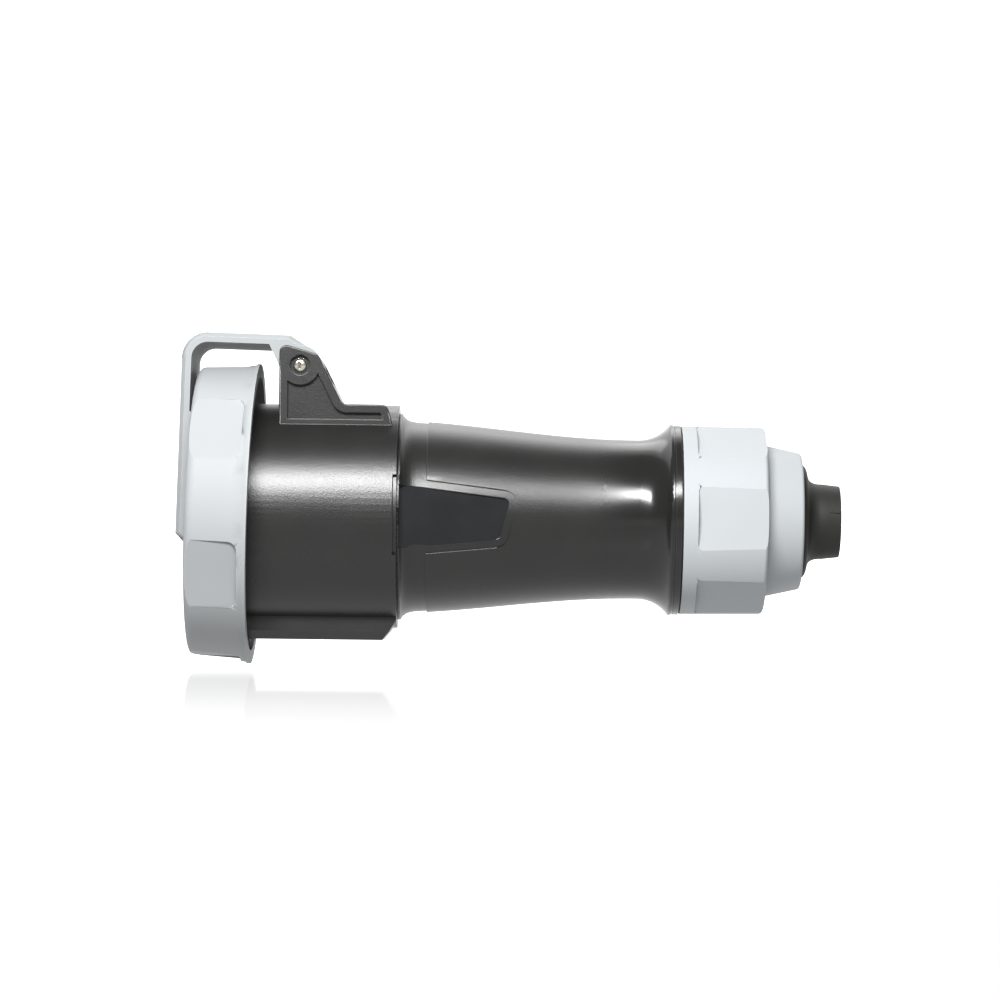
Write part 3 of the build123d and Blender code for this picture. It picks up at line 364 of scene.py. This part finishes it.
def flat_faces(mesh):
    """The faces that lie in a large flat area."""
    def plane(face):
        return (*(round(c, 3) for c in face.normal), round(face.normal.dot(face.center) / FLAT_OFFSET))

    areas = {}
    for face in mesh.polygons:
        areas[plane(face)] = areas.get(plane(face), 0) + face.area
    return {face.index for face in mesh.polygons if areas[plane(face)] > FLAT_AREA}


def true_shading(piece, point, axis):
    """Gives the flat faces and those turned about an axis the directions that the real ones have."""
    mesh = piece.data
    axis = Vector(axis)
    arms = [corner.co - Vector(point) for corner in mesh.vertices]
    outward = [(arm - arm.dot(axis) * axis).normalized() for arm in arms]
    normals = [Vector(corner.vector) for corner in mesh.corner_normals]
    keys = [(loop.vertex_index, tuple(round(c, 4) for c in normals[loop.index])) for loop in mesh.loops]
    flat = flat_faces(mesh)
    leans = {}
    rounded = []
    for face in mesh.polygons:
        along = face.normal.dot(axis)
        across = face.normal - along * axis
        radial = [across.dot(outward[vertex]) for vertex in face.vertices]
        rise = [along * arms[v].dot(axis) + radial[0] * arms[v].dot(outward[v]) for v in face.vertices]
        round_about = across.length > 0.2 and min(abs(part) for part in radial) > TURNED_COS * across.length
        if round_about and max(rise) - min(rise) < FLAT_RISE:
            lean = face.area * Vector((along, across.length if radial[0] > 0 else -across.length))
            for loop in face.loop_indices:
                leans[keys[loop]] = leans.get(keys[loop], Vector((0, 0))) + lean
        elif face.index in flat:
            for loop in face.loop_indices:
                normals[loop] = Vector(face.normal)
            continue
        rounded.extend(face.loop_indices)
    for loop in rounded:
        if keys[loop] in leans:
            along, across = leans[keys[loop]].normalized()
            normals[loop] = along * axis + across * outward[keys[loop][0]]
    mesh.normals_split_custom_set(normals)
    print(piece.name, "flat faces:", len(flat), "of", len(mesh.polygons))


def stand_for(piece, node, material):
    """The piece takes a node's place, with a material of its own."""
    piece.data.materials.clear()
    piece.data.materials.append(material)
    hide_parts(node)
    dressed[node] = piece


def dress(node, material, turned_about=None):
    piece = merged_copy(node)
    smooth(piece)
    if turned_about:
        true_shading(piece, *turned_about)
    stand_for(piece, node, material)
    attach(piece, BODY_OF[node])
    return piece


dress("collar", collar_black, MAIN_AXIS)
dress("rear_housing", handle_black, MAIN_AXIS)
dress("lid", lid_grey, LID_AXIS)
dress("locking_ring", ring_grey, LID_AXIS)
dress("gland_nut", nut_grey, MAIN_AXIS)
dress("contact_carrier", carrier_dark)
for contact in ("contact_line_1", "contact_line_2", "contact_line_3", "contact_earth", "contact_pilot"):
    dress(contact, brass)
dress("terminal_screws", plated_steel)
dress("carrier_screws", plated_steel)
dress("hinge_pin", plated_steel)
dress("ring_clip", spring_wire)
dress("lid_gasket", seal_rubber)
dress("housing_seal", seal_rubber)
dress("nut_seal", seal_rubber)
dress("gland_bush", bush_rubber, MAIN_AXIS)
dress("clamp_collet", natural_plastic)
dress("slip_washer", natural_plastic)
print("dressed:", len(dressed), "pieces")

# %% [markdown]
# The lid's spring has one leg on the collar and the other in the lid's arm, and its coil lies
# along the hinge's axis. Its copy is merged, shaded smoothly and given the spring wire's finish,
# and its place is baked into its mesh.

# %% The lid's spring
hinge_place = Vector(joints["lid_hinge"]["pos_m"])
spring = merged_copy("lid_spring")
smooth(spring, 40)
stand_for(spring, "lid_spring", spring_wire)
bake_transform(spring)

# %% [markdown]
# The screws at the hinge have round heads with a cross recess. A head is a profile that is
# turned about its axis by a Screw modifier, and the recess is cut by two tapered blades with
# Boolean modifiers. Both screws come from one function, which is told which way they look.

# %% Screws with a cross recess
HEAD_R = 2.82 * MM
HEAD_T = 1.48 * MM
SHANK_R = 1.45 * MM
SHANK_LENGTH = 8.0 * MM
DOME_POWER = 0.7
HEAD_RIM = 0.3 * HEAD_T
HEAD_SINK = 0.02 * MM
BLADE_LENGTH = 3.3 * MM
BLADE_WIDTH = 0.8 * MM
BLADE_DEPTH = 1.15 * MM
BLADE_TIP = 0.62  # the tip's width as a share of the width at the head's top


def turned(name, points, steps=64, pitch=0.0, turns=1):
    """Turns a line of (along, radius) points about X, and forwards too if it has a pitch."""
    mesh = bpy.data.meshes.new(name)
    mesh.from_pydata([(a, 0, r) for a, r in points], [(n, n + 1) for n in range(len(points) - 1)], [])
    piece = bpy.data.objects.new(name, mesh)
    bpy.context.scene.collection.objects.link(piece)
    only(piece)
    screw = piece.modifiers.new("screw", "SCREW")
    screw.axis = "X"
    screw.steps = screw.render_steps = steps
    screw.screw_offset = pitch
    screw.iterations = turns
    screw.use_merge_vertices = pitch == 0
    screw.merge_threshold = 0.001 * MM
    bpy.ops.object.modifier_apply(modifier=screw.name)
    bpy.ops.object.mode_set(mode="EDIT")
    bpy.ops.mesh.select_all(action="SELECT")
    bpy.ops.mesh.normals_make_consistent(inside=False)
    bpy.ops.object.mode_set(mode="OBJECT")
    return piece


def cut(piece, tool):
    """Cuts the tool's shape out of the piece and throws the tool away."""
    only(piece)
    boolean = piece.modifiers.new("cut", "BOOLEAN")
    boolean.operation = "DIFFERENCE"
    boolean.solver = "EXACT"
    boolean.object = tool
    bpy.ops.object.modifier_apply(modifier=boolean.name)
    bpy.data.objects.remove(tool)


def blade(x, turn):
    """A driver's blade, narrower at its tip, that points along -X from the head's top."""
    bpy.ops.object.select_all(action="DESELECT")
    upright = (0, 0, radians(45))
    bpy.ops.mesh.primitive_cone_add(vertices=4, radius1=BLADE_TIP, radius2=1.0, depth=1.0, rotation=upright)
    made = bpy.context.object
    bpy.ops.object.transform_apply(location=False, rotation=True, scale=True)
    made.scale = (BLADE_LENGTH / 2 ** 0.5, BLADE_WIDTH / 2 ** 0.5, 2 * BLADE_DEPTH)
    bpy.ops.object.transform_apply(location=False, rotation=False, scale=True)
    made.rotation_euler = (turn, radians(90), 0)
    made.location = (x, 0, 0)
    bpy.ops.object.transform_apply(location=True, rotation=True, scale=False)
    return made


def cross_screw(side, turn):
    """A screw that is sunk in the ear on the near side (-1) or the far side (+1)."""
    domed = [(HEAD_T * cos(radians(a)) ** DOME_POWER, HEAD_R * sin(radians(a))) for a in range(0, 81, 10)]
    shank = [(0, SHANK_R), (-SHANK_LENGTH, SHANK_R), (-SHANK_LENGTH, 0)]
    screw = turned("hinge_screw", [*domed, (HEAD_RIM, HEAD_R), (0, HEAD_R), *shank])
    for quarter in (0, 90):
        cut(screw, blade(HEAD_T, radians(turn + quarter)))
    low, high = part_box("hinge_screws")
    face = low[1] if side < 0 else high[1]
    screw.rotation_euler = (0, 0, radians(90) * side)
    screw.location = (hinge_place.x, face - side * (HEAD_T + HEAD_SINK), hinge_place.z)
    only(screw)
    bpy.ops.object.transform_apply(location=True, rotation=True, scale=False)
    smooth(screw, 35)
    return screw


screws = [cross_screw(-1, 21), cross_screw(1, 64)]
bpy.ops.object.select_all(action="DESELECT")
for screw in screws:
    screw.select_set(True)
bpy.context.view_layer.objects.active = screws[0]
bpy.ops.object.join()
stand_for(screws[0], "hinge_screws", plated_steel)
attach(screws[0], "body")

# %% [markdown]
# The construction model leaves the gland's thread as a plain cylinder. A low ridge is wound
# round the spigot here, with the nut's own pitch of 3 mm, and shows where the nut is turned back.
# The rubber neck has a fine raised line on each side, where the halves of its mould met.

# %% The spigot's thread and the neck's parting lines
THREAD_PITCH = 3.0 * MM
RIDGE_FOOT = 0.85 * MM
RIDGE_TOP = 0.35 * MM
RIDGE_HEIGHT = 0.22 * MM
RIDGE_ROOT = 0.1 * MM
SPIGOT_RADIUS = 33.0 * MM
PARTING_FROM = 9.2 * MM
PARTING_TO = 0.3 * MM
PARTING_WIDTH = 0.30 * MM
PARTING_HEIGHT = 0.22 * MM
PARTING_TAPER = 3.0
PARTING_RADIUS = 15.42 * MM
thread_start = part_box("gland_nut")[0][0] + 1.2 * MM
thread_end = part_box("rear_housing")[1][0] - 1.5 * MM
thread_turns = int((thread_end - thread_start) / THREAD_PITCH)
ridge = [
    (-RIDGE_FOOT, SPIGOT_RADIUS - RIDGE_ROOT),
    (-RIDGE_FOOT, SPIGOT_RADIUS),
    (-RIDGE_TOP, SPIGOT_RADIUS + RIDGE_HEIGHT),
    (RIDGE_TOP, SPIGOT_RADIUS + RIDGE_HEIGHT),
    (RIDGE_FOOT, SPIGOT_RADIUS),
    (RIDGE_FOOT, SPIGOT_RADIUS - RIDGE_ROOT),
]
thread = turned("spigot_thread", [(thread_start + RIDGE_FOOT + a, r) for a, r in ridge],
                steps=96, pitch=THREAD_PITCH, turns=thread_turns)
smooth(thread, 20)
thread.data.materials.append(collar_black)
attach(thread, "body")


def parting_line(angle):
    """A thin ridge along the rubber neck at an angle above the near side."""
    bush_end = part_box("gland_bush")[1][0]
    start, end = bush_end - PARTING_FROM, bush_end - PARTING_TO
    bpy.ops.object.select_all(action="DESELECT")
    bpy.ops.mesh.primitive_cube_add(size=1)
    line = bpy.context.object
    line.name = "neck_parting_line"
    line.scale = (end - start, PARTING_WIDTH, PARTING_HEIGHT)
    bpy.ops.object.transform_apply(location=False, rotation=False, scale=True)
    line.rotation_euler = (radians(-angle), radians(PARTING_TAPER), 0)
    across, up = cos(radians(angle)), sin(radians(angle))
    line.location = ((start + end) / 2, -PARTING_RADIUS * across, PARTING_RADIUS * up)
    bpy.ops.object.transform_apply(location=True, rotation=True, scale=False)
    line.data.materials.append(bush_rubber)
    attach(line, "body")


parting_line(13.4)
parting_line(193.4)

# %% [markdown]
# The pockets' floors get the smooth finish. They are found by their place: nearly flat faces
# that look sideways, a little inside the handle's skin.

# %% Give the pockets their smooth floor
POCKET_END = 121 * MM
POCKET_INNER = 33 * MM
POCKET_OUTER = 39.5 * MM
FLOOR_LEAN_COS = cos(radians(4.85))


def give_pockets_smooth_floor(piece):
    piece.data.materials.append(panel_black)
    count = 0
    for face in piece.data.polygons:
        sideways = abs(abs(face.normal.y) - FLOOR_LEAN_COS) < 0.0006 and abs(face.normal.z) < 0.01
        if sideways and face.center.x < POCKET_END and POCKET_INNER < abs(face.center.y) < POCKET_OUTER:
            face.material_index = 1
            count += 1
    print("smooth pocket faces:", count)


give_pockets_smooth_floor(dressed["rear_housing"])

# %% [markdown]
# The studio: a plain pale floor that glows, a glowing white card behind it, a soft light high on
# the viewer's side, which draws the long highlight on the collar and the handle, and a weak one
# behind. The floor glows most behind the connector. It mirrors faintly, and less so towards the
# viewer, so the connector's reflection fades out downwards as in a catalogue photograph.

# %% Floor, lights and world
FLOOR_GLOW = 1.0
FLOOR_POOL = 0.9
BACKDROP_GLOW = 1.35
FLOOR_MIRROR = 0.36
FLOOR_GAP = 0.2 * MM
WORLD_LIGHT = 0.22  # what the world gives to the pieces
WORLD_SEEN = 1.05  # what the camera sees of it

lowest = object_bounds()[0]
bpy.ops.object.select_all(action="DESELECT")
bpy.ops.mesh.primitive_plane_add(size=12, location=(0, 0, lowest[2] - FLOOR_GAP))
floor = bpy.context.object
floor.name = "floor"
floor_finish = Finish("pale_floor")
depth = floor_finish.along("Y")
fade = floor_finish.ramp(depth, -1.15, -0.3, 0.0, FLOOR_MIRROR)
glow = FLOOR_GLOW + floor_finish.ramp(depth, -0.3, 0.05, 0.0, FLOOR_POOL)
floor_finish.set(Base_Color=(0.04, 0.04, 0.04, 1), Roughness=0.6, Specular_IOR_Level=0.0)
floor_finish.set(Emission_Color=glow, Emission_Strength=1.0)
matt = Field(floor_finish, floor_finish.surface.outputs[0])
polish = {"Base Color": (0, 0, 0, 1), "Roughness": 0.03, "IOR": 1.12}
mirror = floor_finish.node("ShaderNodeBsdfPrincipled", inputs=polish)
shine = floor_finish.node("ShaderNodeMixShader", inputs={0: fade, 1: matt, 2: mirror})
floor_finish.feed(floor_finish.tree.nodes["Material Output"].inputs["Surface"], shine)
floor.data.materials.append(floor_finish.material)
bpy.ops.object.select_all(action="DESELECT")
bpy.ops.mesh.primitive_plane_add(size=12, location=(0, 2.6, 2.0), rotation=(radians(90), 0, 0))
backdrop_card = bpy.context.object
backdrop_card.name = "backdrop"
card_finish = Finish("white_card")
card_finish.set(Base_Color=(0.5, 0.5, 0.5, 1), Emission_Color=(1, 1, 1, 1), Emission_Strength=BACKDROP_GLOW)
backdrop_card.data.materials.append(card_finish.material)


def soft_light(name, width, height, radiance, centre, target, lean=0.0):
    """A flat soft light; its power follows from how bright its face is. Lean lifts its right end."""
    data = bpy.data.lights.new(name, "AREA")
    data.shape = "RECTANGLE"
    data.size = width
    data.size_y = height
    data.energy = radiance * pi * width * height
    light = bpy.data.objects.new(name, data)
    bpy.context.scene.collection.objects.link(light)
    light.location = centre
    aim = Vector(target) - Vector(centre)
    light.rotation_euler = (aim.to_track_quat("-Z", "Y") @ Quaternion((0, 0, 1), radians(lean))).to_euler()
    return light


def around(x, distance, elevation, side):
    """A place above the viewer's side (-1) or the far side (+1)."""
    return (x, side * distance * cos(radians(elevation)), distance * sin(radians(elevation)))


soft_light("front_softbox", 0.55, 0.20, 92.0, around(-0.05, 0.95, 34, -1), (-0.02, 0, 0), lean=8)
soft_light("back_softbox", 1.3, 0.5, 2.5, around(0.11, 1.1, 50, 1), (0.11, 0, 0))

world = bpy.data.worlds.new("studio")
bpy.context.scene.world = world
world.use_nodes = True
backdrop = world.node_tree.nodes["Background"]
backdrop.inputs["Color"].default_value = (1, 1, 1, 1)
backdrop.inputs["Strength"].default_value = WORLD_LIGHT
bright = world.node_tree.nodes.new("ShaderNodeBackground")
bright.inputs["Color"].default_value = (1, 1, 1, 1)
bright.inputs["Strength"].default_value = WORLD_SEEN
path = world.node_tree.nodes.new("ShaderNodeLightPath")
choose = world.node_tree.nodes.new("ShaderNodeMixShader")
links = world.node_tree.links
links.new(path.outputs["Is Camera Ray"], choose.inputs[0])
links.new(backdrop.outputs[0], choose.inputs[1])
links.new(bright.outputs[0], choose.inputs[2])
links.new(choose.outputs[0], world.node_tree.nodes["World Output"].inputs["Surface"])

# %% [markdown]
# The camera stands level, a little below the connector's axis and far away, as the long lens
# of a catalogue photograph does. The picture's centre is shifted up to frame the connector,
# and the camera is rolled by two thirds of a degree.

# %% Camera
PICTURE = 1000
PIXEL_AT_AXIS = 0.4225 * MM
VIEW_DISTANCE = 1.6
VIEW_POINT = (500, 595)
AXIS_PIXEL = (225.6, 518)
ROLL = 0.67

camera_data = bpy.data.cameras.new("camera")
camera_data.sensor_width = 36
camera_data.lens = 36 * VIEW_DISTANCE / (PICTURE * PIXEL_AT_AXIS)
camera_data.shift_y = (VIEW_POINT[1] - PICTURE / 2) / PICTURE
camera_data.clip_end = 20
camera = bpy.data.objects.new("camera", camera_data)
bpy.context.scene.collection.objects.link(camera)
camera.location = (
    (VIEW_POINT[0] - AXIS_PIXEL[0]) * PIXEL_AT_AXIS,
    -VIEW_DISTANCE,
    (AXIS_PIXEL[1] - VIEW_POINT[1]) * PIXEL_AT_AXIS,
)
camera.rotation_euler = (radians(90), radians(-ROLL), 0)
bpy.context.scene.camera = camera
bpy.context.scene.view_settings.view_transform = "Standard"
